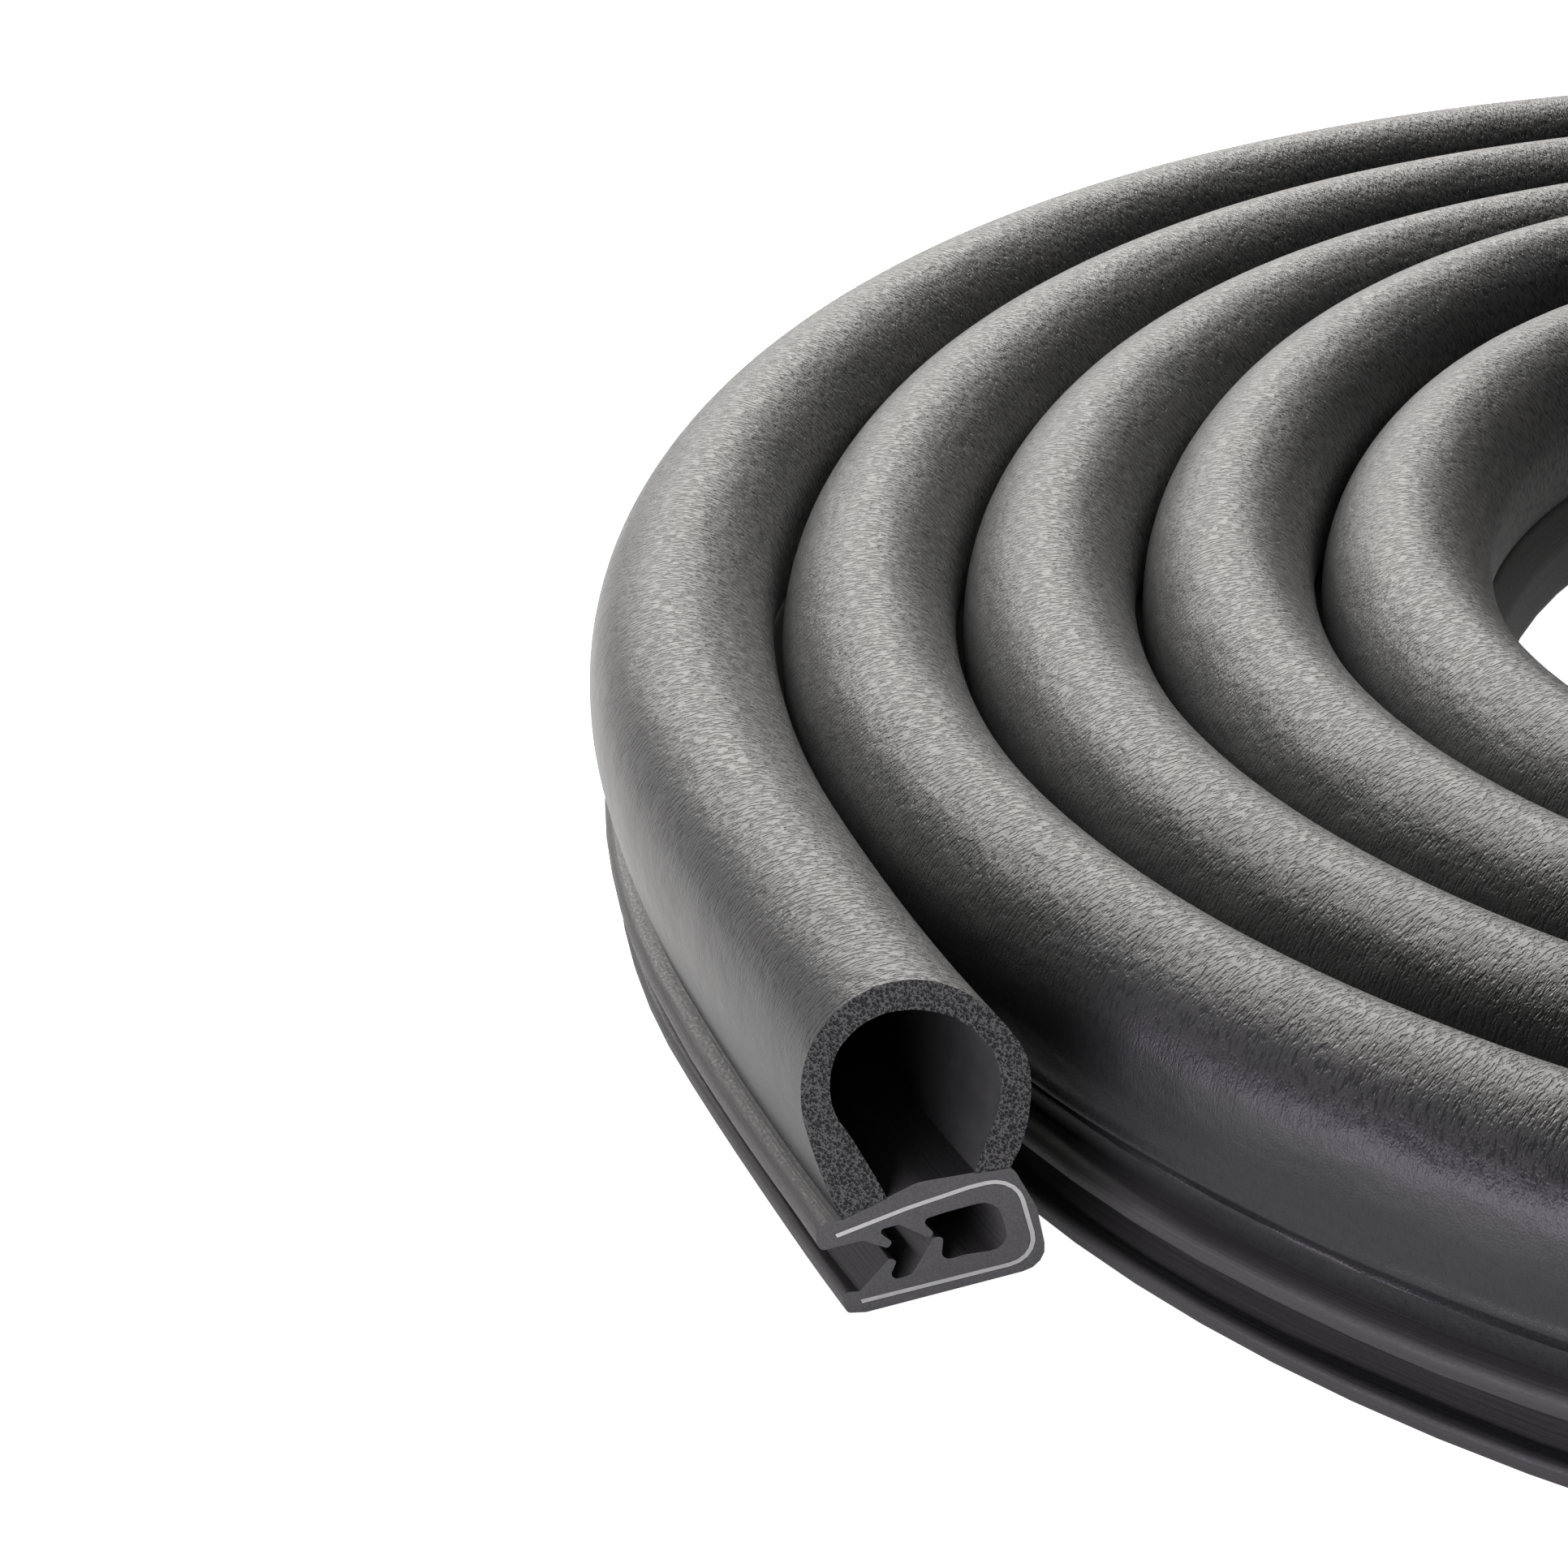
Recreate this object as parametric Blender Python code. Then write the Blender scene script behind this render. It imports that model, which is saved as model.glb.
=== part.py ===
"""Edge trim seal: a hollow sponge bulb on a panel-gripping rubber channel with a metal core.

One cut length lies on the floor as a spiral. The channel lies on its side with its mouth facing
outwards, and the bulb stands on top of it. The whole strip leans outwards by LEAN and rests on
the heel of its lower lip. The bulb, the channel and the core are each a section carried along
the same spiral, from the cut outer end to the inner end.
Metres, +Z up. The origin is on the floor, below the middle of the coil.
"""
import math

import bmesh
import bpy

# The length of strip along the bulb's middle, and how the line of its heel is coiled about a pole
STRIP_LENGTH = 3.0
OUTER_RADIUS = 0.1470
TURN_PITCH = 0.0159
END_BEARING = math.radians(212)
OVAL = 0.0009
OVAL_BEARING = math.radians(49)
EGG = 0.0023
EGG_BEARING = math.radians(-13)
FLARE = 0.0008
FLARE_START = math.radians(30)
FLARE_END = math.radians(200)
MIDDLE = (-0.0026, 0.0056)

# The free outer end swings out, and is cut off square by CUT_SKEW, in a last step of LAST_STEP
SWING = 0.0025
SWING_ANGLE = math.radians(15)
CUT_SKEW = math.radians(-18)
LAST_STEP = 0.0035

# The inner turns rise off the floor on the far side
LIFT = 0.0026
LIFT_AT = math.radians(1206)
LIFT_SPAN = math.radians(121)

# The section before it leans: x is outwards from the bulb's middle, z is up from the channel's base
LEAN = math.radians(14)
BULB_HALF_WIDTH = 0.0077
BULB_HALF_HEIGHT = 0.0085
BULB_CENTRE = 0.0167
BULB_SIDE_WALL = 0.0020
BULB_TOP_WALL = 0.0022
OUTER_FOOT = (0.0074, 0.0040)
INNER_FOOT = (-0.0046, -0.0022)
ARCH_SPREAD = math.radians(14)
BACK = -0.0055
UPPER_LIP = 0.0094
LOWER_LIP = 0.0089
HEEL = 0.0013
LIP_TOP = 0.0078
LIP_UNDER = 0.0058
LEG = 0.0022
CEILING = 0.0064
UPPER_LEG = 0.0024
BACK_TOP = CEILING + UPPER_LEG
CROWN_RISE = 0.0005
CROWN = BACK_TOP + CROWN_RISE
CROWN_AT = 0.0017
CAVITY_BACK = -0.0032
FIN_ROOT = 0.0017
FIN_LEAN = 0.0014
LOWER_FINS = ((0.0073, 0.0016), (0.0038, 0.0021))
UPPER_FINS = ((0.0065, 0.0012), (0.0038, 0.0014))
LIP_ROUND = 0.0008
BACK_ROUND = 0.0032
CAVITY_ROUND = 0.0014
CORE_THICKNESS = 0.0004
CORE_COVER = 0.0010
CORE_ROUND = 0.0024
CORE_UPPER_END = (0.0079, 0.0066)
CORE_LOWER_END = 0.0075

# Making: steps a turn, and the gap between neighbouring solids
STEPS_A_TURN = 32
GAP = 0.0003
MERGE = 0.00001
TURN = 2 * math.pi


def new_collection(name):
    """Make a collection in the scene."""
    collection = bpy.data.collections.new(name)
    bpy.context.scene.collection.children.link(collection)
    return collection


def rubber(name, colour, roughness, metallic=0.0):
    """Make a plain Principled material."""
    material = bpy.data.materials.new(name)
    material.use_nodes = True
    shader = material.node_tree.nodes["Principled BSDF"]
    shader.inputs["Base Color"].default_value = (*colour, 1)
    shader.inputs["Roughness"].default_value = roughness
    shader.inputs["Metallic"].default_value = metallic
    return material


def rounded(corners, steps):
    """Outline through corners (x, z, radius); a radius above 0 becomes an arc of `steps` chords."""
    outline = []
    for index, (x, z, radius) in enumerate(corners):
        if radius == 0:
            outline.append((x, z))
            continue
        before = corners[index - 1]
        after = corners[(index + 1) % len(corners)]
        arms = []
        for other in (before, after):
            span = math.hypot(other[0] - x, other[1] - z)
            arms.append(((other[0] - x) / span, (other[1] - z) / span))
        cosine = arms[0][0] * arms[1][0] + arms[0][1] * arms[1][1]
        half = math.acos(max(-1.0, min(1.0, cosine))) / 2
        middle = (arms[0][0] + arms[1][0], arms[0][1] + arms[1][1])
        reach = radius / math.sin(half) / math.hypot(*middle)
        centre = (x + middle[0] * reach, z + middle[1] * reach)
        tangent = radius / math.tan(half)
        first = (x + arms[0][0] * tangent - centre[0], z + arms[0][1] * tangent - centre[1])
        last = (x + arms[1][0] * tangent - centre[0], z + arms[1][1] * tangent - centre[1])
        sweep = math.atan2(first[0] * last[1] - first[1] * last[0],
                           first[0] * last[0] + first[1] * last[1])
        for step in range(steps + 1):
            turn = sweep * step / steps
            cos, sin = math.cos(turn), math.sin(turn)
            outline.append((centre[0] + first[0] * cos - first[1] * sin,
                            centre[1] + first[0] * sin + first[1] * cos))
    return outline


def fin(root, height, base, direction):
    """Three points of a gripping fin: it leans inwards, away from the mouth."""
    tip = (root - FIN_ROOT / 2 - FIN_LEAN, base + direction * height)
    return [(root, base), tip, (root - FIN_ROOT, base)]


def carrier_section():
    """The channel on its side: two legs, lips, four fins and a rounded back.

    The heel is a flat at the lower lip's corner, level once the strip leans.
    """
    heel_top = HEEL * math.sin(LEAN)
    lower_lip = [(heel_start(), 0), (LOWER_LIP, heel_top)]
    lower_lip += rounded([(LOWER_LIP, 0, 0), (LOWER_LIP, LEG, LIP_ROUND), (BACK, LEG, 0)], 1)[1:-1]
    lower_fins = [point for root, height in LOWER_FINS for point in fin(root, height, LEG, 1)]
    cavity = rounded([(0, LEG, 0), (CAVITY_BACK, LEG, CAVITY_ROUND),
                      (CAVITY_BACK, CEILING, CAVITY_ROUND), (0, CEILING, 0)], 1)[1:-1]
    upper_fins = []
    for root, height in reversed(UPPER_FINS):
        slope = (CEILING - LIP_UNDER) * max(0, root) / UPPER_LIP
        upper_fins += reversed(fin(root, height, CEILING - slope, -1))
    upper_lip = rounded([(0, CEILING, 0), (UPPER_LIP, LIP_UNDER, LIP_ROUND),
                         (UPPER_LIP, LIP_TOP, LIP_ROUND), (CROWN_AT, CROWN, 0)], 1)[1:-1]
    back = rounded([(CROWN_AT, CROWN, 0), (BACK, BACK_TOP, BACK_ROUND), (BACK, 0, BACK_ROUND),
                    (0, 0, 0)], 2)[1:-1]
    return lower_lip + lower_fins + cavity + upper_fins + upper_lip + [(CROWN_AT, CROWN)] + back


def heel_start():
    """Where the heel's flat meets the channel's base: the line that the coil's path follows."""
    return LOWER_LIP - HEEL * math.cos(LEAN)


def core_line():
    """The middle line of the metal core: down the upper leg, round the back, out along the lower."""
    left = BACK + CORE_COVER
    top = BACK_TOP - CORE_COVER
    corners = [(*CORE_UPPER_END, 0), (left, top, CORE_ROUND), (left, CORE_COVER, CORE_ROUND),
               (CORE_LOWER_END, CORE_COVER, 0)]
    return rounded(corners, 1)


def ribbon(line, half, extra=0.0):
    """Closed outline of a band of half thickness `half` along a line, longer by `extra` at its ends."""
    sides = ([], [])
    for index, (x, z) in enumerate(line):
        before = line[max(0, index - 1)]
        after = line[min(len(line) - 1, index + 1)]
        length = math.hypot(after[0] - before[0], after[1] - before[1])
        along = ((after[0] - before[0]) / length, (after[1] - before[1]) / length)
        push = {0: -extra, len(line) - 1: extra}.get(index, 0)
        x, z = x + along[0] * push, z + along[1] * push
        sides[0].append((x - along[1] * half, z + along[0] * half))
        sides[1].append((x + along[1] * half, z - along[0] * half))
    return sides[0] + sides[1][::-1]


def arc(half_width, half_height, steps):
    """The bulb's arch from its outer shoulder over the top to its inner shoulder."""
    start, end = -ARCH_SPREAD, math.pi + ARCH_SPREAD
    angles = [start + (end - start) * step / steps for step in range(steps + 1)]
    return [(half_width * math.cos(angle), BULB_CENTRE + half_height * math.sin(angle))
            for angle in angles]


def carrier_top(x):
    """Height of the channel's top face at x, between its crown and its lip or its back."""
    if x > CROWN_AT:
        return CROWN - (CROWN - LIP_TOP) * (x - CROWN_AT) / (UPPER_LIP - CROWN_AT)
    return CROWN - (CROWN - BACK_TOP) * (CROWN_AT - x) / (CROWN_AT - BACK)


def bulb_section():
    """The sponge arch: an outer and an inner curve, joined by two feet on the channel's top."""
    outer = arc(BULB_HALF_WIDTH, BULB_HALF_HEIGHT, 8)
    inner = arc(BULB_HALF_WIDTH - BULB_SIDE_WALL, BULB_HALF_HEIGHT - BULB_TOP_WALL, 6)
    outer_foot = [(x, carrier_top(x) + GAP) for x in reversed(OUTER_FOOT)]
    inner_foot = [(x, carrier_top(x) + GAP) for x in INNER_FOOT]
    return outer_foot + outer + inner_foot + inner[::-1]


def ease(value):
    """0 below 0, 1 above 1, and a smooth rise between."""
    value = max(0.0, min(1.0, value))
    return value * value * (3 - 2 * value)


def coil_radius(wound):
    """Distance of the heel's line from the pole, after winding in by the angle `wound`."""
    bearing = END_BEARING - wound
    radius = OUTER_RADIUS - TURN_PITCH * wound / TURN
    radius += OVAL * math.cos(2 * (bearing - OVAL_BEARING))
    radius += EGG * math.cos(3 * (bearing - EGG_BEARING))
    radius += FLARE * ease((FLARE_END - wound) / (FLARE_END - FLARE_START))
    return radius + SWING * max(0.0, 1 - wound / SWING_ANGLE) ** 2


def coil_point(wound):
    """A point on the heel's line: on the floor, but for the rise of the inner turns."""
    bearing = END_BEARING - wound
    radius = coil_radius(wound)
    rise = LIFT * max(0.0, 1 - ((wound - LIFT_AT) / LIFT_SPAN) ** 2) ** 2
    return (radius * math.cos(bearing) - MIDDLE[0], radius * math.sin(bearing) - MIDDLE[1], rise)


def wound_length(wound, steps=400):
    """Length of the line below the bulb's middle, up to the angle `wound`."""
    inset = heel_start() * math.cos(LEAN) - BULB_CENTRE * math.sin(LEAN)
    turned = [wound * step / steps for step in range(steps + 1)]
    radii = [coil_radius(angle) - inset for angle in turned]
    places = [(r * math.cos(angle), r * math.sin(angle)) for r, angle in zip(radii, turned)]
    return sum(math.dist(a, b) for a, b in zip(places, places[1:]))


def total_winding():
    """The angle at which the strip's length is used up, found by halving."""
    low, high = 0.0, 6 * TURN
    for _ in range(24):
        middle = (low + high) / 2
        if wound_length(middle) < STRIP_LENGTH:
            low = middle
        else:
            high = middle
    return low


def stations(winding):
    """Winding angles of the sections: the end, every even bearing, and the inner end."""
    step = TURN / STEPS_A_TURN
    first = math.fmod(END_BEARING, step)
    angles = [0.0]
    wound = first
    while wound < winding:
        if wound - angles[-1] > step / 4:
            angles.append(wound)
        wound += step
    if winding - angles[-1] < step / 4:
        angles.pop()
    return angles + [winding]


def sweep(name, outline, winding, overrun, target):
    """Carry a section along the coil and return it as a closed mesh object."""
    section = bpy.data.curves.new(name + "_section", "CURVE")
    section.dimensions = "2D"
    ring = section.splines.new("POLY")
    ring.points.add(len(outline) - 1)
    ring.use_cyclic_u = True
    for point, (x, z) in zip(ring.points, outline):
        point.co = (heel_start() - x, z, 0, 1)
    shape = bpy.data.objects.new(name + "_section", section)
    bpy.context.scene.collection.objects.link(shape)

    path = bpy.data.curves.new(name + "_path", "CURVE")
    path.dimensions = "3D"
    path.twist_mode = "Z_UP"
    path.bevel_mode = "OBJECT"
    path.bevel_object = shape
    path.use_fill_caps = True
    line = path.splines.new("POLY")
    angles = stations(winding)
    places = [coil_point(wound) for wound in angles]
    places.insert(0, skewed_end(places, LAST_STEP + overrun))
    places[-1] = beyond(places[-2], places[-1], overrun)
    line.points.add(len(places) - 1)
    for point, place in zip(line.points, places):
        point.co = (*place, 1)
        point.tilt = -LEAN
    swept = bpy.data.objects.new(name + "_path", path)
    bpy.context.scene.collection.objects.link(swept)
    bpy.context.view_layer.update()

    graph = bpy.context.evaluated_depsgraph_get()
    mesh = bpy.data.meshes.new_from_object(swept.evaluated_get(graph))
    mesh.name = name
    weld(mesh)
    piece = bpy.data.objects.new(name, mesh)
    target.objects.link(piece)
    bpy.data.objects.remove(swept)
    bpy.data.objects.remove(shape)
    return piece


def skewed_end(places, step):
    """The path's first point: a short step out of line, which turns the end face off square."""
    x, y, z = places[0]
    heading = math.atan2(y - places[1][1], x - places[1][0]) + CUT_SKEW
    return (x + math.cos(heading) * step, y + math.sin(heading) * step, z)


def beyond(start, end, distance):
    """The point `distance` past `end` on the line from `start`."""
    scale = distance / math.dist(start, end)
    return tuple(b + (b - a) * scale for a, b in zip(start, end))


def weld(mesh):
    """Join the loose caps to the swept wall and point the faces outwards."""
    work = bmesh.new()
    work.from_mesh(mesh)
    bmesh.ops.remove_doubles(work, verts=work.verts, dist=MERGE)
    bmesh.ops.recalc_face_normals(work, faces=work.faces)
    work.to_mesh(mesh)
    work.free()


def subtract(piece, cutter):
    """Cut one mesh out of another."""
    cutter.hide_render = True
    cutter.display_type = "WIRE"
    cut = piece.modifiers.new("cut " + cutter.name, "BOOLEAN")
    cut.operation = "DIFFERENCE"
    cut.object = cutter


def build():
    """Make the bulb, the channel and the core."""
    for old in list(bpy.data.objects):
        bpy.data.objects.remove(old)
    parts = new_collection("edge_trim_seal")
    cutters = new_collection("cutters")
    winding = total_winding()

    bulb = sweep("sponge_bulb", bulb_section(), winding, 0, parts)
    bulb.data.materials.append(rubber("sponge_rubber", (0.045, 0.045, 0.047), 0.72))

    carrier = sweep("rubber_carrier", carrier_section(), winding, 0, parts)
    carrier.data.materials.append(rubber("dense_rubber", (0.03, 0.03, 0.032), 0.55))
    slot_outline = ribbon(core_line(), CORE_THICKNESS / 2 + GAP, GAP)
    slot = sweep("core_slot", slot_outline, winding, 0.004, cutters)
    subtract(carrier, slot)

    core = sweep("metal_core", ribbon(core_line(), CORE_THICKNESS / 2), winding, 0, parts)
    core.data.materials.append(rubber("core_metal", (0.62, 0.62, 0.61), 0.35, 1.0))


build()
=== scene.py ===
"""Edge trim seal, dressed: a coiled length of sponge bulb on a rubber channel with a metal core.

Each piece is a section carried along one spiral, worked out with numpy as a grid of points.
Sections are in millimetres, drawn upright: x is outwards from the bulb's middle and z is up from
the channel's base. The spiral and everything else are in metres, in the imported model's frame.
"""

import bmesh
import bpy
import numpy as np
from mathutils import Matrix, Vector
from mathutils.geometry import tessellate_polygon


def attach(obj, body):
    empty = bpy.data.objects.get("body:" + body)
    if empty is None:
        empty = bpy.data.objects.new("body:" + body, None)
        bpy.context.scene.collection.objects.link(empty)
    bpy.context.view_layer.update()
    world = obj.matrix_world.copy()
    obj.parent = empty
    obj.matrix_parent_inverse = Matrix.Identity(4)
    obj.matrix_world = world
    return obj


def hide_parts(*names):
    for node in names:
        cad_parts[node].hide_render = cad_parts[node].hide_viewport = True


MM = 0.001
TURN = 2 * np.pi

# The spiral of the heel, the line on the floor that the strip lies on
STRIP_LENGTH = 3.0
OUTER_RADIUS = 0.14701
TURN_PITCH = 0.01588
END_BEARING = np.radians(213.7)
MIDDLE = (-0.0026, 0.0056)
LONGEST_WIND = 4.6 * TURN
SPIRAL_STEPS = 40000

# How it departs from an even spiral. The oval and the egg shape: amount, and bearing of a bulge
OVAL = (0.00085, np.radians(49.1))
EGG = (0.00227, np.radians(-12.7))
# The first half turn stands out: amount, and the winding angles that it fades between
FLARE = (0.00075, 0.5, 3.52)
# The outer end swings out: amount, and the winding angle that it fades over
SWING = (0.00413, 0.265)
# An inner turn rises off the floor: amount, winding angle of its middle, and half of its span
LIFT = (0.00258, 21.05, 2.12)

# The section leans outwards about its heel, and the outer end is cut askew
LEAN = np.radians(14)
HEEL = (7.64, 0.0)
CUT_SKEW = np.radians(18.3)
SKEW_FADE = 0.014

# Sections, in millimetres: curves through knots, and corners with their radii
BULB_MIDDLE = (0.0, 16.7)
BULB_OUTSIDE = ((7.3, 7.78), (7.5, 10.0), (7.62, 11.0), (7.72, 12.6), (7.74, 14.8), (7.6, 17.2),
                (6.75, 20.1), (5.1, 22.55), (2.5, 24.45), (-0.6, 25.1), (-3.5, 24.2), (-5.8, 21.9),
                (-7.25, 18.7), (-7.62, 16.2), (-6.95, 13.1), (-5.75, 10.3), (-4.5, 8.6))
BULB_INSIDE = ((-2.15, 8.85), (-3.1, 10.5), (-4.85, 13.3), (-5.65, 15.9), (-5.5, 18.4),
               (-4.1, 21.0), (-1.5, 22.6), (1.3, 22.75), (3.85, 21.25), (5.2, 18.9), (5.6, 16.3),
               (5.05, 14.2), (4.25, 10.4), (3.93, 8.58))
CHANNEL = ((8.9, 0.31, 0.35), (8.9, 2.1, 0.6), (7.55, 1.8, 0.25), (5.0, 3.85, 0.22), (4.6, 3.5, 0.22),
           (5.6, 2.02, 0.4), (3.9, 2.1, 0.9), (1.75, 4.65, 0.28), (1.1, 4.5, 0.28),
           (1.75, 2.6, 0.5), (0.0, 2.66, 1.5), (-3.05, 2.3, 1.3), (-3.1, 6.5, 1.3), (0.4, 6.4, 1.5),
           (2.25, 6.25, 0.4), (1.6, 4.95, 0.28), (2.1, 4.7, 0.28), (3.7, 6.35, 0.5),
           (5.3, 6.3, 0.3), (4.5, 5.1, 0.25), (4.9, 4.65, 0.25), (6.4, 5.8, 0.6),
           (9.25, 5.78, 0.3), (9.45, 7.75, 1.1), (7.4, 7.85, 0.6), (4.0, 8.66, 2.0),
           (1.7, 9.3, 2.5), (-1.0, 9.06, 2.5), (-4.7, 8.75, 0.9), (-5.5, 5.0, 2.5),
           (-5.2, 0.2, 2.0), (7.64, 0.0, 0.0))
CORE = ((8.0, 6.65, 0.0), (2.9, 7.45, 3.0), (-1.5, 7.9, 2.5), (-4.75, 7.9, 2.0), (-4.7, 1.0, 2.1),
        (7.7, 0.95, 0.0))
CORE_HALF = 0.16
CORE_GAP = 0.04

# The lower lip reaches further out past two places along the strip: amount, start and length
LIP_REACHES = ((0.0008, 0.012, 0.05), (0.0006, 0.25, 0.3))
# On the section it grows outwards and downwards from a point, over two widths
LIP_FROM = (6.3, 4.4)
LIP_RISE = (2.3, 1.6)
LIP_ROOT = (7.5, 2.1)
ROOT_SPREAD = (0.9, 1.2)
ROOT_WAVE = 0.0003

# The fold along the bulb's outer flank, with a low swell above it. It fades in along the strip
FOLD_DEPTH = 0.0011
FOLD_HEIGHT = 11.0
FOLD_WANDER = 0.25
FOLD_WIDTH = 0.32
SWELL_SHARE = 0.35
SWELL_ABOVE = 1.0
SWELL_WIDTH = 0.7
FOLD_START = 0.06
FOLD_FADE = 0.35
FOLD_SHARE = (0.8, 0.3)
# On the section it grows outwards and upwards from a point, over two widths
FLANK_FROM = (6.4, 8.6)
FLANK_RISE = (0.6, 0.9)

# The upper lip's edge is a little wavy, between two heights
EDGE_WAVE = 0.00012
EDGE_FROM = 8.3
EDGE_HEIGHTS = (5.0, 9.0)
EDGE_RISE = (0.8, 0.5)

# Near the cut end the bulb's inner flank bulges against the next turn: depth, middle and length
BULGE = (0.0011, 0.062, 0.04)
BULGE_FROM = -4.5
BULGE_RISE = 2.5
BULGE_HEIGHT = 17.0
BULGE_SPREAD = 5.0

# Rings along the strip, which crowd towards its ends, and points round the outlines
BULB_RINGS = 920
CHANNEL_RINGS = 460
END_CROWD = 0.0055
CROWD_RATE = 150
FOLD_LENGTH = 6.0
FOLD_POINTS = 20
OUTSIDE_POINTS = 46
INSIDE_POINTS = 36
CUT_ROWS = 9
CHANNEL_ARC = 0.42
CORE_ARC = 0.32
SHARP_ANGLE = np.radians(38)
SEAM_REACH = 2e-6

# Patterns of the skins, in steps a metre along the strip and round its section
CREASES = (3400, 950, 1)
PIMPLES = (6800, 5200, 1)
LUMPS = (90, 140, 1)
INSIDE_MOTTLE = (500, 500, 1)
EXTRUDED_LINES = (60, 5200, 1)
EXTRUDED_GRAIN = (3500, 3500, 1)
# Distances round the bulb from its outer foot, where the creases and the lighter crown start and
# where they are full. Below them the outer flank is painted darker: painted shade.
CROWN = (0.012, 0.024)
# Patterns of the cut faces, in steps a metre every way
PORES = 3000.0
FINE_PORES = 6000.0
CUT_GRAIN = 5000.0
METAL_GRAIN = 3000.0

# The photograph's view
CAMERA_PLACE = (-0.13654, -0.34266, 0.1565)
CAMERA_YAW = 0.0209
CAMERA_PITCH = 0.4273
CAMERA_ROLL = -0.0204
CAMERA_LENS = 95.02


def smooth_curve(knots, count):
    """Catmull-Rom curve through the knots: each span is a cubic that leaves along its neighbours."""
    points = np.asarray(knots, float)
    before = 2 * points[:1] - points[1:2]
    after = 2 * points[-1:] - points[-2:-1]
    padded = np.concatenate([before, points, after])
    place = np.linspace(0, len(points) - 1, count * 8)
    span = np.minimum(place.astype(int), len(points) - 2)
    t = (place - span)[:, None]
    a, b, c, d = (padded[span + step] for step in range(4))
    fine = b + 0.5 * t * (c - a + t * (2 * a - 5 * b + 4 * c - d + t * (3 * (b - c) + d - a)))
    return at_distances(fine, np.linspace(0, distance_along(fine)[-1], count))


def distance_along(line):
    """Length of the line up to each of its points."""
    steps = np.linalg.norm(np.diff(line, axis=0), axis=1)
    return np.concatenate([[0.0], np.cumsum(steps)])


def at_distances(line, places):
    """Points of the line at the given distances along it."""
    length = distance_along(line)
    return np.stack([np.interp(places, length, axis) for axis in line.T], axis=1)


def rounded(corners, arc_step, closed=True):
    """Outline through corners (x, z, radius), each rounded by an arc that touches both its sides."""
    outline = []
    last = len(corners) - 1
    for index, (x, z, radius) in enumerate(corners):
        corner = np.array((x, z))
        if radius == 0 or (not closed and index in (0, last)):
            outline.append(corner[None])
            continue
        arms = np.array([corners[index - 1][:2], corners[(index + 1) % len(corners)][:2]]) - corner
        arms /= np.linalg.norm(arms, axis=1)[:, None]
        half = np.arccos(np.clip(arms[0] @ arms[1], -1, 1)) / 2
        middle = arms.sum(0) / np.linalg.norm(arms.sum(0))
        centre = corner + middle * radius / np.sin(half)
        start = corner + arms[0] * radius / np.tan(half) - centre
        end = corner + arms[1] * radius / np.tan(half) - centre
        sweep = np.arctan2(start[0] * end[1] - start[1] * end[0], start @ end)
        turn = np.linspace(0, sweep, max(3, int(np.ceil(abs(sweep) / arc_step)) + 1))[:, None]
        side = np.array((-start[1], start[0]))
        outline.append(centre + start * np.cos(turn) + side * np.sin(turn))
    return np.concatenate(outline)


def ribbon(line, half, extra=0.0):
    """Closed outline of a band of half thickness `half` along a line, longer by `extra` at its ends."""
    along = np.gradient(line, axis=0)
    along /= np.linalg.norm(along, axis=1)[:, None]
    line = line.copy()
    line[0] -= along[0] * extra
    line[-1] += along[-1] * extra
    across = np.stack([-along[:, 1], along[:, 0]], axis=1) * half
    return np.concatenate([line + across, (line - across)[::-1]])


def ease(value):
    """0 below 0, 1 above 1, and a smooth rise between."""
    value = np.clip(value, 0, 1)
    return value * value * (3 - 2 * value)


def bell(value, middle, width):
    """1 at the middle, falling on both sides by the exponential of minus the squared distance."""
    return np.exp(-((value - middle) / width) ** 2)


def waves(along, longest, seed):
    """A slow uneven wave between about -1 and 1: four sines, each shorter than the last."""
    pitches = longest / np.array((1.0, 1.7, 2.9, 4.3))
    starts = np.random.default_rng(seed).uniform(0, TURN, 4)
    weights = np.array((0.4, 0.3, 0.2, 0.1))
    return (np.sin(along * TURN / pitches + starts) * weights).sum(1)[:, None]


def heel_line(wound):
    """The spiral: a radius that shrinks evenly with the winding angle, a little oval and egg shaped.

    The outer end swings out by a squared fade, and an inner turn rises by a bell on the far side.
    """
    bearing = END_BEARING - wound
    radius = OUTER_RADIUS - TURN_PITCH * wound / TURN
    radius += OVAL[0] * np.cos(2 * (bearing - OVAL[1])) + EGG[0] * np.cos(3 * (bearing - EGG[1]))
    radius += FLARE[0] * ease((FLARE[2] - wound) / (FLARE[2] - FLARE[1]))
    radius += SWING[0] * np.maximum(0, 1 - wound / SWING[1]) ** 2
    rise = LIFT[0] * np.maximum(0, 1 - ((wound - LIFT[1]) / LIFT[2]) ** 2) ** 2
    return np.stack([radius * np.cos(bearing) - MIDDLE[0], radius * np.sin(bearing) - MIDDLE[1],
                     rise], axis=1)


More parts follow.
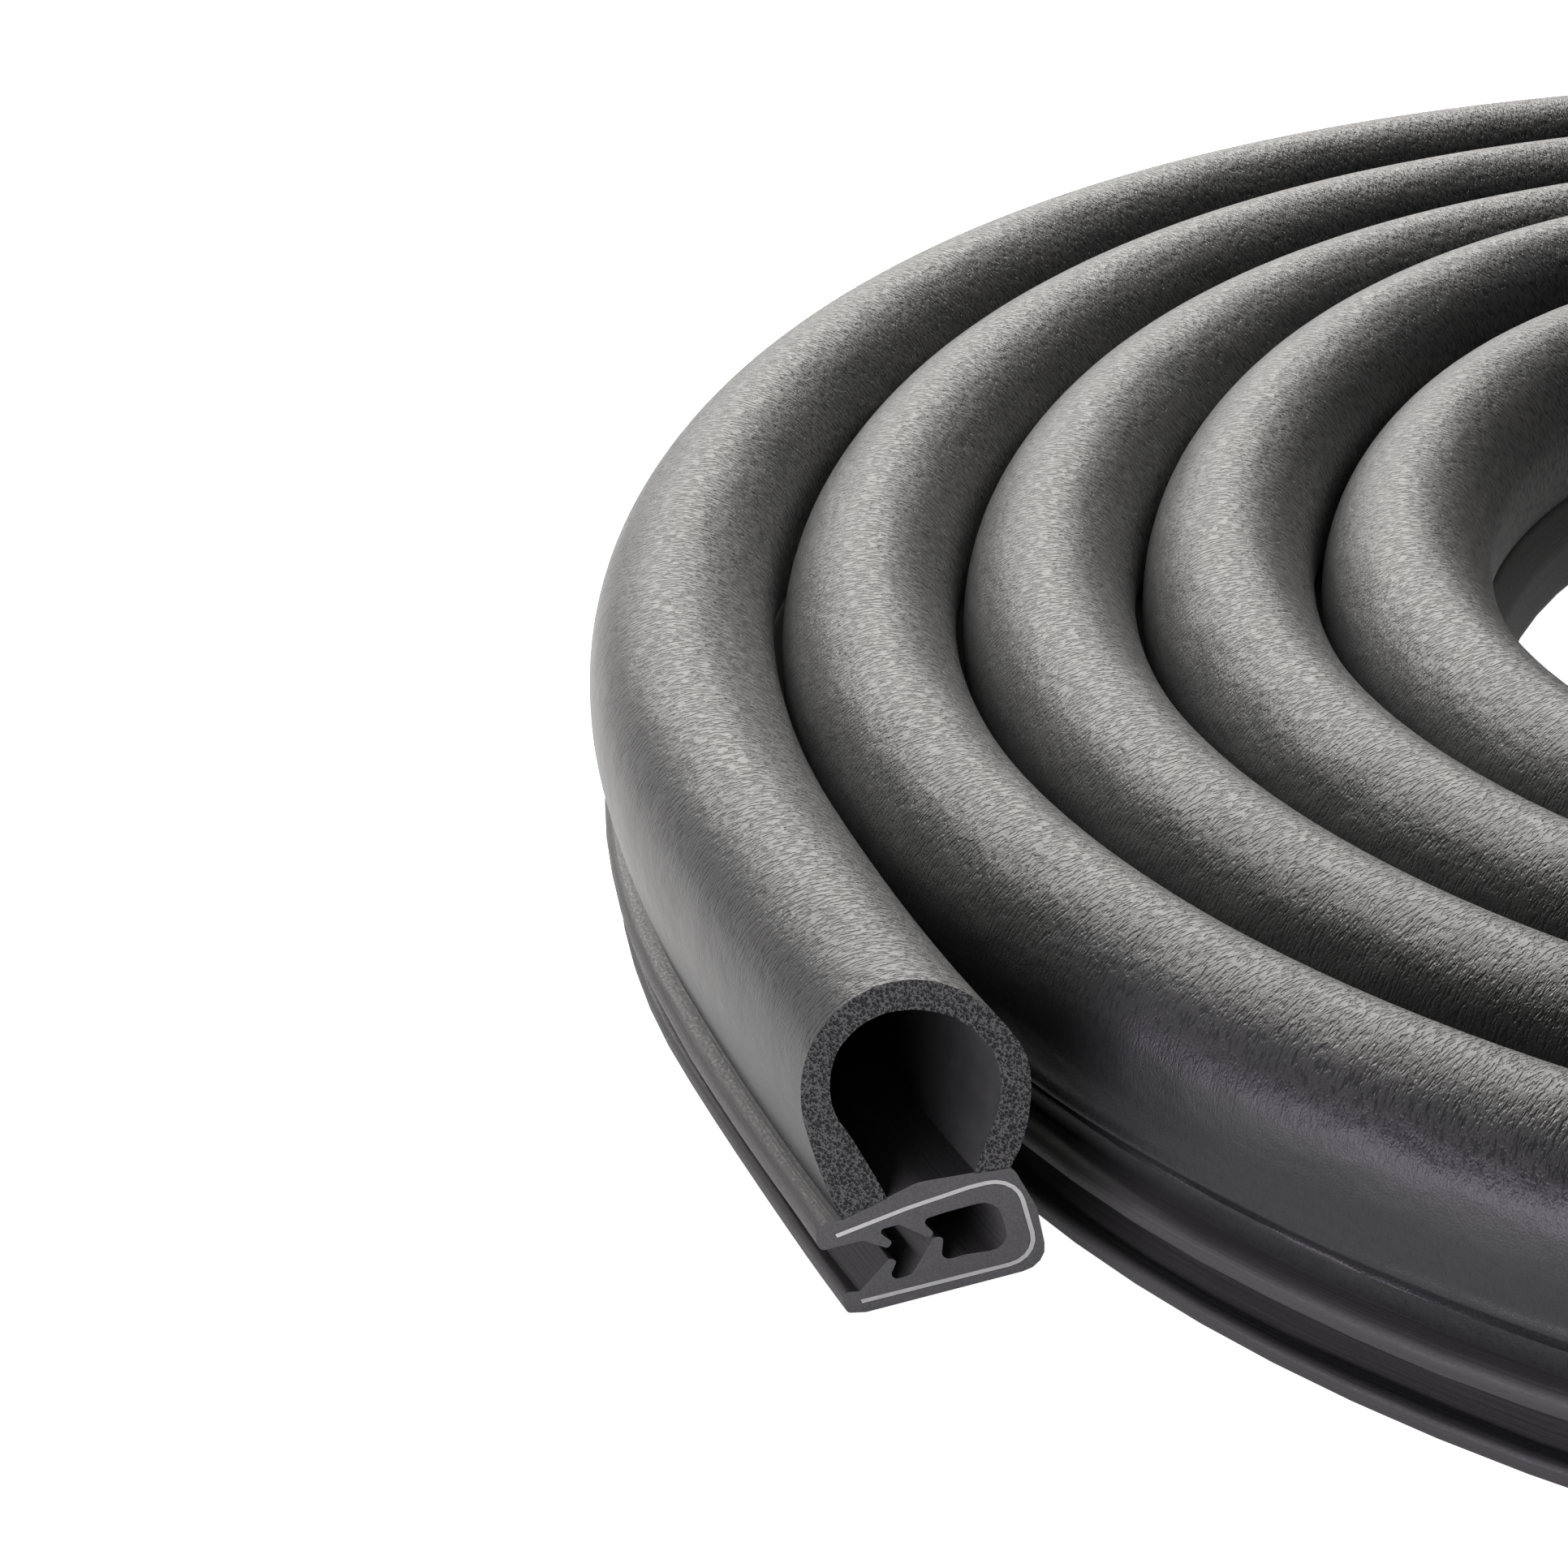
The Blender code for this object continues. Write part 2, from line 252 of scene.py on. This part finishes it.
def stations(count):
    """Places along the strip: distance, heel point, outward and along directions at each ring.

    Distances are measured along the bulb's middle. Rings are even by them, but crowd towards both
    cut ends by a fading exponential.
    """
    line = heel_line(np.linspace(0, LONGEST_WIND, SPIRAL_STEPS))
    forward = np.gradient(line, axis=0)
    forward[:, 2] = 0
    forward /= np.linalg.norm(forward, axis=1)[:, None]
    outward = np.stack([-forward[:, 1], forward[:, 0], forward[:, 2]], axis=1)
    inset = HEEL[0] * MM * np.cos(LEAN) - BULB_MIDDLE[1] * MM * np.sin(LEAN)
    length = distance_along(line - outward * inset)
    share = np.linspace(0, 1, count)
    crowd = share + END_CROWD * (np.exp(-share * CROWD_RATE) - np.exp(-(1 - share) * CROWD_RATE))
    along = (crowd - crowd[0]) / (crowd[-1] - crowd[0]) * STRIP_LENGTH

    def pick(values):
        return np.stack([np.interp(along, length, axis) for axis in values.T], axis=1)

    return along, pick(line), pick(outward), pick(forward)


def lower_lip(x, z, along):
    """The lower lip's reach, an eased step for each place along the strip, and its wavy root."""
    lip = ease((x - LIP_FROM[0]) / LIP_RISE[0]) * ease((LIP_FROM[1] - z) / LIP_RISE[1])
    reach = sum(amount * ease((along - start) / length) for amount, start, length in LIP_REACHES)
    root = bell(x, LIP_ROOT[0], ROOT_SPREAD[0]) * bell(z, LIP_ROOT[1], ROOT_SPREAD[1])
    return reach * lip + ROOT_WAVE * waves(along, 0.06, 3) * root


def flank_fold(x, z, along):
    """The fold on the bulb's outer flank: a narrow bell inwards, less a wide one above it."""
    height = FOLD_HEIGHT + FOLD_WANDER * waves(along, 0.09, 4)
    share = FOLD_SHARE[0] + FOLD_SHARE[1] * waves(along, 0.12, 5)
    depth = FOLD_DEPTH * ease((along - FOLD_START) / FOLD_FADE) * share
    fold = bell(z, height, FOLD_WIDTH) - SWELL_SHARE * bell(z, height + SWELL_ABOVE, SWELL_WIDTH)
    flank = ease((x - FLANK_FROM[0]) / FLANK_RISE[0]) * ease((z - FLANK_FROM[1]) / FLANK_RISE[1])
    return depth * fold * flank


def lip_edge(x, z, along):
    """The upper lip's wavy edge."""
    between = ease((z - EDGE_HEIGHTS[0]) / EDGE_RISE[1]) * ease((EDGE_HEIGHTS[1] - z) / EDGE_RISE[1])
    return EDGE_WAVE * waves(along, 0.05, 6) * ease((x - EDGE_FROM) / EDGE_RISE[0]) * between


def inner_bulge(x, z, along):
    """The bulge of the bulb's inner flank: a bell along the strip times a bell up the section."""
    inner_flank = ease((BULGE_FROM - x) / BULGE_RISE) * bell(z, BULGE_HEIGHT, BULGE_SPREAD)
    return BULGE[0] * bell(along, BULGE[1], BULGE[2]) * inner_flank


def carried(outline, rings):
    """Grid of points: the outline (x, z) leans outwards about the heel and rides on every ring.

    The strip's own bends move a point level and outwards. At the outer end it also moves along the
    strip by its distance outwards times the skew's tangent, which fades out over SKEW_FADE.
    """
    along, heel, outward, forward = rings
    place = (outline - HEEL) * MM
    out = place[:, 0] * np.cos(LEAN) + place[:, 1] * np.sin(LEAN)
    up = place[:, 1] * np.cos(LEAN) - place[:, 0] * np.sin(LEAN)
    middle = -HEEL[0] * MM * np.cos(LEAN) + BULB_MIDDLE[1] * MM * np.sin(LEAN)
    at = (*outline.T, along[:, None])
    moved = out + lower_lip(*at) - flank_fold(*at) + lip_edge(*at) - inner_bulge(*at)
    push = (1 - ease(along / SKEW_FADE))[:, None] * (out - middle) * np.tan(CUT_SKEW)
    points = heel[:, None] + outward[:, None] * moved[..., None] + forward[:, None] * push[..., None]
    points[..., 2] += up
    return points


def grid_faces(rings, around, closed=True):
    """Quads between neighbouring rings and neighbouring outline points."""
    ring = np.arange(rings - 1)[:, None]
    point = np.arange(around if closed else around - 1)[None]
    after = (point + 1) % around
    quads = np.stack([ring * around + point, ring * around + after,
                      (ring + 1) * around + after, (ring + 1) * around + point], axis=-1)
    return quads.reshape(-1, 4)


def tube(outline, rings, first):
    """Wall of one closed outline: its points, quads, and UVs in metres along and round the strip.

    Vertex numbers start at `first`. UVs don't jump back where the outline closes.
    """
    around = len(outline)
    quads = grid_faces(len(rings[0]), around)
    lengths = distance_along(np.concatenate([outline, outline[:1]])) * MM
    ring, point = quads // around, quads % around
    closing = (point == 0) & (point.max(axis=1)[:, None] == around - 1)
    uvs = np.stack([rings[0][ring], lengths[np.where(closing, around, point)]], axis=-1)
    return carried(outline, rings).reshape(-1, 3), quads + first, uvs.reshape(-1, 2)


def arch_cap(outside, inside, rings, end, first):
    """Cut face of the arch: straight lines of points from its outside to its inside curve."""
    back = inside[::-1]
    share = distance_along(outside) / distance_along(outside)[-1]
    inner = at_distances(back, share * distance_along(back)[-1])
    depth = np.linspace(0, 1, CUT_ROWS)[:, None, None]
    section = (outside * (1 - depth) + inner * depth).reshape(-1, 2)
    points = carried(section, tuple(part[[end]] for part in rings))[0]
    quads = grid_faces(CUT_ROWS, len(outside), closed=False)
    if end == 0:
        quads = quads[:, ::-1]
    return points, quads + first, section[quads.ravel()] * MM


def polygon_cap(loops, end, firsts):
    """Cut face between closed outlines: triangles over the first outline, less the others."""
    flat = [[Vector((x, z, 0)) for x, z in loop] for loop in loops]
    triangles = np.array(tessellate_polygon(flat))
    numbers = np.concatenate([np.arange(len(loop)) + first for loop, first in zip(loops, firsts)])
    section = np.concatenate(loops)
    a, b, c = (section[triangles[:, k]] for k in range(3))
    area = (b[:, 0] - a[:, 0]) * (c[:, 1] - a[:, 1]) - (b[:, 1] - a[:, 1]) * (c[:, 0] - a[:, 0])
    triangles = np.where((area > 0)[:, None] == (end == 0), triangles, triangles[:, ::-1])
    return numbers[triangles], section[triangles.ravel()] * MM


def mesh_piece(name, points, faces, uvs, slots, materials):
    """Make a mesh object from points, and lists of face arrays, their corners' UVs and slots.

    Its cut faces are joined to its walls and all faces are turned outwards.
    """
    mesh = bpy.data.meshes.new(name)
    corners = np.concatenate([part.ravel() for part in faces])
    sizes = np.concatenate([np.full(len(part), part.shape[1]) for part in faces])
    starts = np.concatenate([[0], np.cumsum(sizes)[:-1]])
    mesh.vertices.add(len(points))
    mesh.vertices.foreach_set("co", points.astype(np.float32).ravel())
    mesh.loops.add(len(corners))
    mesh.loops.foreach_set("vertex_index", corners.astype(np.int32))
    mesh.polygons.add(len(sizes))
    mesh.polygons.foreach_set("loop_start", starts.astype(np.int32))
    mesh.polygons.foreach_set("material_index", np.concatenate(slots).astype(np.int32))
    mesh.polygons.foreach_set("use_smooth", np.ones(len(sizes), bool))
    layer = mesh.uv_layers.new(name="strip_metres")
    layer.data.foreach_set("uv", np.concatenate(uvs).astype(np.float32).ravel())
    mesh.update(calc_edges=True)
    mesh.validate()
    work = bmesh.new()
    work.from_mesh(mesh)
    bmesh.ops.remove_doubles(work, verts=work.verts, dist=SEAM_REACH)
    bmesh.ops.recalc_face_normals(work, faces=work.faces)
    work.to_mesh(mesh)
    work.free()
    mesh.set_sharp_from_angle(angle=SHARP_ANGLE)
    for material in materials:
        mesh.materials.append(material)
    piece = bpy.data.objects.new(name, mesh)
    bpy.context.scene.collection.objects.link(piece)
    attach(piece, "root")
    return piece


def bulb_outline():
    """The arch's outside curve, with finer steps over the fold, and its inside curve back."""
    fine = smooth_curve(BULB_OUTSIDE, 600)
    over_fold = np.linspace(0, FOLD_LENGTH, FOLD_POINTS + 1)[:-1]
    beyond = np.linspace(FOLD_LENGTH, distance_along(fine)[-1], OUTSIDE_POINTS)
    return (at_distances(fine, np.concatenate([over_fold, beyond])),
            smooth_curve(BULB_INSIDE, INSIDE_POINTS))


def make_bulb(skin, cut, inside_skin):
    """The sponge bulb: a long tube of the arch's loop, and a cut face of small quads at each end."""
    rings = stations(BULB_RINGS)
    outside, inside = bulb_outline()
    outline = np.concatenate([outside, inside])
    points, quads, uvs = tube(outline, rings, 0)
    on_outside = quads[:, 0] % len(outline) < len(outside) - 1
    parts, faces, uv_parts = [points], [quads], [uvs]
    slots = [np.where(on_outside, 0, 2)]
    first = len(points)
    for end in (0, -1):
        cap_points, cap_quads, cap_uvs = arch_cap(outside, inside, rings, end, first)
        parts.append(cap_points)
        faces.append(cap_quads)
        uv_parts.append(cap_uvs)
        slots.append(np.ones(len(cap_quads)))
        first += len(cap_points)
    piece = mesh_piece("sponge_bulb_skin", np.concatenate(parts), faces, uv_parts, slots,
                       (skin, cut, inside_skin))
    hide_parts("sponge_bulb")


def make_channel(outside, cut):
    """The rubber channel: its outline's wall, the core slot's wall, and a cut face at each end."""
    rings = stations(CHANNEL_RINGS)
    outline = rounded(CHANNEL, CHANNEL_ARC)
    slot_outline = ribbon(rounded(CORE, CORE_ARC, closed=False), CORE_HALF + CORE_GAP, CORE_GAP)
    points, quads, uvs = tube(outline, rings, 0)
    slot_points, slot_quads, slot_uvs = tube(slot_outline, rings, len(points))
    faces, uv_parts = [quads, slot_quads], [uvs, slot_uvs]
    slots = [np.zeros(len(quads)), np.ones(len(slot_quads))]
    for end in (0, -1):
        row = end % CHANNEL_RINGS
        firsts = (row * len(outline), len(points) + row * len(slot_outline))
        triangles, cap_uvs = polygon_cap((outline, slot_outline), end, firsts)
        faces.append(triangles)
        uv_parts.append(cap_uvs)
        slots.append(np.ones(len(triangles)))
    piece = mesh_piece("channel_rubber", np.concatenate([points, slot_points]), faces, uv_parts,
                       slots, (outside, cut))
    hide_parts("rubber_carrier")


def make_core(metal):
    """The metal core: a thin band's outline carried along, with a flat face at each end."""
    outline = ribbon(rounded(CORE, CORE_ARC, closed=False), CORE_HALF)
    points, quads, uvs = tube(outline, stations(CHANNEL_RINGS), 0)
    faces, uv_parts = [quads], [uvs]
    for end in (0, -1):
        triangles, cap_uvs = polygon_cap((outline,), end, (end % CHANNEL_RINGS * len(outline),))
        faces.append(triangles)
        uv_parts.append(cap_uvs)
    slots = [np.zeros(len(part)) for part in faces]
    piece = mesh_piece("core_strip", points, faces, uv_parts, slots, (metal,))
    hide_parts("metal_core")


def new_material(name, colour, roughness, metallic=0.0):
    """A Principled material, with its node tree and its shader."""
    material = bpy.data.materials.new(name)
    material.use_nodes = True
    tree = material.node_tree
    shader = tree.nodes["Principled BSDF"]
    shader.inputs["Base Color"].default_value = (*colour, 1)
    shader.inputs["Roughness"].default_value = roughness
    shader.inputs["Metallic"].default_value = metallic
    return material, tree, shader


def node(tree, kind, inputs=None, **settings):
    """Add a node, set its properties, and set or link its inputs by name or number."""
    made = tree.nodes.new(kind)
    for key, value in settings.items():
        setattr(made, key, value)
    for key, value in (inputs or {}).items():
        if isinstance(value, bpy.types.NodeSocket):
            tree.links.new(value, made.inputs[key])
        else:
            made.inputs[key].default_value = value
    return made


def spread(tree, value, low, high, to_low=0.0, to_high=1.0):
    """A value from low to high, brought to to_low to to_high and held there beyond."""
    return node(tree, "ShaderNodeMapRange", {"Value": value, "From Min": low, "From Max": high,
                                             "To Min": to_low, "To Max": to_high}).outputs[0]


def mottle_group():
    """Node group in all of the strip's materials but the cut sponge: a noise, and its value from
    Low to High brought to 0 to 1."""
    group = bpy.data.node_groups.new("rubber_mottle", "ShaderNodeTree")
    group.interface.new_socket(name="Place", in_out="INPUT", socket_type="NodeSocketVector")
    for name in ("Scale", "Detail", "Roughness", "Distortion", "Low", "High"):
        group.interface.new_socket(name=name, in_out="INPUT", socket_type="NodeSocketFloat")
    for name in ("Noise", "Mottle"):
        group.interface.new_socket(name=name, in_out="OUTPUT", socket_type="NodeSocketFloat")
    given = node(group, "NodeGroupInput").outputs
    noise = node(group, "ShaderNodeTexNoise", {
        "Vector": given["Place"], "Scale": given["Scale"], "Detail": given["Detail"],
        "Roughness": given["Roughness"], "Distortion": given["Distortion"]}).outputs[0]
    mottle = spread(group, noise, given["Low"], given["High"])
    node(group, "NodeGroupOutput", {"Noise": noise, "Mottle": mottle})
    return group


def mottled(tree, place, low=0.3, high=0.7, scale=1.0, detail=3.0, roughness=0.5, distortion=0.0):
    """The mottle group in a material, with this material's values: its noise and its mottle."""
    group = bpy.data.node_groups.get("rubber_mottle") or mottle_group()
    made = node(tree, "ShaderNodeGroup", {
        "Place": place, "Scale": scale, "Detail": detail, "Roughness": roughness,
        "Distortion": distortion, "Low": low, "High": high}, node_tree=group)
    return made.outputs["Noise"], made.outputs["Mottle"]


def on_strip(tree, pattern):
    """The piece's own UVs in metres, stretched to a pattern's steps along and round the strip."""
    uv = node(tree, "ShaderNodeUVMap", uv_map="strip_metres")
    return node(tree, "ShaderNodeMapping", {"Vector": uv.outputs["UV"], "Scale": pattern}).outputs[0]


def in_object(tree):
    """The piece's Object coordinates, in metres."""
    return node(tree, "ShaderNodeTexCoord").outputs["Object"]


def mixed(tree, factor, first, second):
    """Two colours mixed by a factor. Each is given as a colour or as another node's output."""
    mix = node(tree, "ShaderNodeMix", {"Factor": factor}, data_type="RGBA")
    sides = [socket for socket in mix.inputs if socket.type == "RGBA"]
    for socket, value in zip(sides, (first, second)):
        if isinstance(value, bpy.types.NodeSocket):
            tree.links.new(value, socket)
        else:
            socket.default_value = (*value, 1)
    return next(socket for socket in mix.outputs if socket.type == "RGBA")


def bumped(tree, height, strength, distance, under=None):
    """A bump of the given height, on top of another bump if one is given."""
    values = {"Height": height, "Strength": strength, "Distance": distance}
    if under:
        values["Normal"] = under
    return node(tree, "ShaderNodeBump", values).outputs[0]


def sponge_skin():
    """Closed sponge skin: short creases across the strip, painted near black as painted shade in them,
    and a pimpled grain, over slow lumps.

    A crease is where a noise stretched round the strip falls below a level. Creases and grain fade
    towards the bulb's outer flank, by the distance round the outline, where the skin is painted
    darker than on the crown: painted shade.
    """
    material, tree, shader = new_material("sponge_skin", (0.05, 0.05, 0.05), 0.43)
    crease_and_shade = mottled(tree, on_strip(tree, CREASES), 0.37, 0.53, detail=2.0, roughness=0.6,
                    distortion=0.15)[1]
    grain = mottled(tree, on_strip(tree, PIMPLES), detail=2.0)[1]
    lumps, patch = mottled(tree, on_strip(tree, LUMPS), 0.35, 0.65)
    uv = node(tree, "ShaderNodeUVMap", uv_map="strip_metres")
    round_strip = node(tree, "ShaderNodeSeparateXYZ", {0: uv.outputs["UV"]}).outputs["Y"]
    crown = spread(tree, round_strip, *CROWN, 0.1, 1.0)

    light = mixed(tree, patch, (0.06, 0.059, 0.06), (0.092, 0.088, 0.082))
    speckled = mixed(tree, grain, (0.045, 0.045, 0.047), light)
    # The creases are painted near black: painted shade in them, over their own small bump.
    crease_shaded_colour = mixed(tree, crease_and_shade, (0.004, 0.004, 0.005), speckled)
    # Towards the outer foot the skin is painted darker than on the crown: painted shade on the outer
    # flank.
    colour = mixed(tree, crown, (0.022, 0.022, 0.024), crease_shaded_colour)
    tree.links.new(colour, shader.inputs["Base Color"])
    tree.links.new(spread(tree, crown, 0.2, 0.8, 0.38, 0.54), shader.inputs["Roughness"])
    lump_bump = bumped(tree, lumps, 0.35, 0.0014)
    grain_bump = bumped(tree, grain, 0.5, 0.00003, lump_bump)
    tree.links.new(bumped(tree, crease_and_shade, crown, 0.0001, grain_bump), shader.inputs["Normal"])
    return material


def sponge_cut():
    """Cut sponge: mid grey with dense small open pores of two sizes, painted dark inside as painted
    shade.
    """
    material, tree, shader = new_material("sponge_cut", (0.09, 0.09, 0.09), 0.85)
    place = in_object(tree)
    cells = node(tree, "ShaderNodeTexVoronoi", {"Vector": place, "Scale": PORES})
    small = node(tree, "ShaderNodeTexVoronoi", {"Vector": place, "Scale": FINE_PORES})
    pore = spread(tree, cells.outputs["Distance"], 0.25, 0.5)
    fine_pore = spread(tree, small.outputs["Distance"], 0.2, 0.5)
    both = node(tree, "ShaderNodeMath", {0: pore, 1: fine_pore}, operation="MULTIPLY").outputs[0]
    # The pores are painted near black: painted shade in their hollows, with a bump for their depth.
    colour = mixed(tree, both, (0.012, 0.012, 0.012), (0.1, 0.1, 0.1))
    tree.links.new(colour, shader.inputs["Base Color"])
    tree.links.new(bumped(tree, both, 0.8, 0.0002), shader.inputs["Normal"])
    return material


def sponge_inside():
    """The inside of the bulb: dark, softly uneven skin."""
    material, tree, shader = new_material("sponge_inside", (0.03, 0.03, 0.03), 0.7)
    noise = mottled(tree, on_strip(tree, INSIDE_MOTTLE), detail=4.0)[0]
    colour = mixed(tree, noise, (0.02, 0.02, 0.02), (0.05, 0.05, 0.05))
    tree.links.new(colour, shader.inputs["Base Color"])
    tree.links.new(bumped(tree, noise, 0.5, 0.0002), shader.inputs["Normal"])
    return material


def extruded_rubber():
    """Dense extruded rubber: satin, with fine lines along the strip and a finer grain."""
    material, tree, shader = new_material("extruded_rubber", (0.04, 0.04, 0.042), 0.45)
    lines = mottled(tree, on_strip(tree, EXTRUDED_LINES))[0]
    noise, grain = mottled(tree, on_strip(tree, EXTRUDED_GRAIN))
    colour = mixed(tree, lines, (0.035, 0.034, 0.035), (0.085, 0.082, 0.081))
    tree.links.new(colour, shader.inputs["Base Color"])
    tree.links.new(spread(tree, grain, 0.0, 1.0, 0.48, 0.66), shader.inputs["Roughness"])
    ridges = bumped(tree, lines, 0.35, 0.00008)
    tree.links.new(bumped(tree, noise, 0.2, 0.00006, ridges), shader.inputs["Normal"])
    return material


def cut_rubber():
    """Cut dense rubber: mid grey with a fine grain."""
    material, tree, shader = new_material("cut_rubber", (0.1, 0.1, 0.1), 0.7)
    noise = mottled(tree, in_object(tree), scale=CUT_GRAIN)[0]
    colour = mixed(tree, noise, (0.05, 0.05, 0.052), (0.15, 0.15, 0.15))
    tree.links.new(colour, shader.inputs["Base Color"])
    tree.links.new(bumped(tree, noise, 0.3, 0.0001), shader.inputs["Normal"])
    return material


def core_metal():
    """Bare aluminium, dulled unevenly by the cut."""
    material, tree, shader = new_material("core_metal", (0.7, 0.7, 0.69), 0.4, 0.8)
    dull = mottled(tree, in_object(tree), scale=METAL_GRAIN)[1]
    tree.links.new(spread(tree, dull, 0.0, 1.0, 0.3, 0.55), shader.inputs["Roughness"])
    return material


def seen_or_lit(tree, seen_strength, lit_strength):
    """One strength for what the camera sees, and another for what lights the strip."""
    seen = node(tree, "ShaderNodeLightPath").outputs["Is Camera Ray"]
    return spread(tree, seen, 0.0, 1.0, lit_strength, seen_strength)


def make_floor(half=6.0, height=-0.0002):
    """A plain white floor, which glows so that it is as white as the backdrop."""
    mesh = bpy.data.meshes.new("floor")
    mesh.from_pydata([(-half, -half, height), (half, -half, height), (half, half, height),
                      (-half, half, height)], [], [(0, 1, 2, 3)])
    floor = bpy.data.objects.new("floor", mesh)
    bpy.context.scene.collection.objects.link(floor)
    material, tree, shader = new_material("pale_floor", (0.93, 0.93, 0.93), 0.9)
    shader.inputs["Emission Color"].default_value = (1, 1, 1, 1)
    tree.links.new(seen_or_lit(tree, 1.0, 0.28), shader.inputs["Emission Strength"])
    mesh.materials.append(material)


def area_light(name, place, target, size, power, colour):
    """A rectangular light at `place`, aimed at `target`, which the camera doesn't see."""
    data = bpy.data.lights.new(name, "AREA")
    data.shape = "RECTANGLE"
    data.size, data.size_y = size
    data.energy = power
    data.color = colour
    light = bpy.data.objects.new(name, data)
    bpy.context.scene.collection.objects.link(light)
    light.visible_camera = False
    light.location = place
    light.rotation_euler = (Vector(target) - Vector(place)).to_track_quat("-Z", "Y").to_euler()


def make_lights():
    """A white backdrop that lights little, a large soft box behind and above the coil on its left,
    and a low one in front on its left."""
    world = bpy.data.worlds.new("studio")
    bpy.context.scene.world = world
    world.use_nodes = True
    tree = world.node_tree
    tree.links.new(seen_or_lit(tree, 1.0, 0.1), tree.nodes["Background"].inputs["Strength"])
    tree.nodes["Background"].inputs["Color"].default_value = (1, 1, 1, 1)
    area_light("back_box", (-0.2, 0.82, 0.62), (0, 0, 0), (1.1, 0.5), 28.0, (1.0, 0.985, 0.95))
    area_light("front_box", (-0.9, -0.75, 0.05), (0, 0, 0.01), (1.3, 0.1), 8.0, (0.92, 0.86, 1.0))


def make_camera():
    """The photograph's view: close and low over the outer end, with a long lens."""
    ahead = Vector((np.sin(CAMERA_YAW) * np.cos(CAMERA_PITCH),
                    np.cos(CAMERA_YAW) * np.cos(CAMERA_PITCH), -np.sin(CAMERA_PITCH)))
    right = Vector((np.cos(CAMERA_YAW), -np.sin(CAMERA_YAW), 0))
    up = right.cross(ahead)
    across = right * np.cos(CAMERA_ROLL) + up * np.sin(CAMERA_ROLL)
    upward = up * np.cos(CAMERA_ROLL) - right * np.sin(CAMERA_ROLL)
    data = bpy.data.cameras.new("photo_view")
    data.lens = CAMERA_LENS
    data.sensor_width = 36
    data.clip_start = 0.01
    camera = bpy.data.objects.new("photo_view", data)
    bpy.context.scene.collection.objects.link(camera)
    turned = Matrix((across, upward, -ahead)).transposed().to_4x4()
    camera.matrix_world = Matrix.Translation(CAMERA_PLACE) @ turned
    bpy.context.scene.camera = camera
    bpy.context.scene.view_settings.view_transform = "Standard"


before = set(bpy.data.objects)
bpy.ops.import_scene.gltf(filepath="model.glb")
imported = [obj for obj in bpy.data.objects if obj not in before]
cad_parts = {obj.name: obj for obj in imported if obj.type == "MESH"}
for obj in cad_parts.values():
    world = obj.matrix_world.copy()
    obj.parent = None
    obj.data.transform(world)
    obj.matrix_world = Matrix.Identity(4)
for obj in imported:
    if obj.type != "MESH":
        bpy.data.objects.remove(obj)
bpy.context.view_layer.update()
make_bulb(sponge_skin(), sponge_cut(), sponge_inside())
make_channel(extruded_rubber(), cut_rubber())
make_core(core_metal())
make_floor()
make_lights()
make_camera()
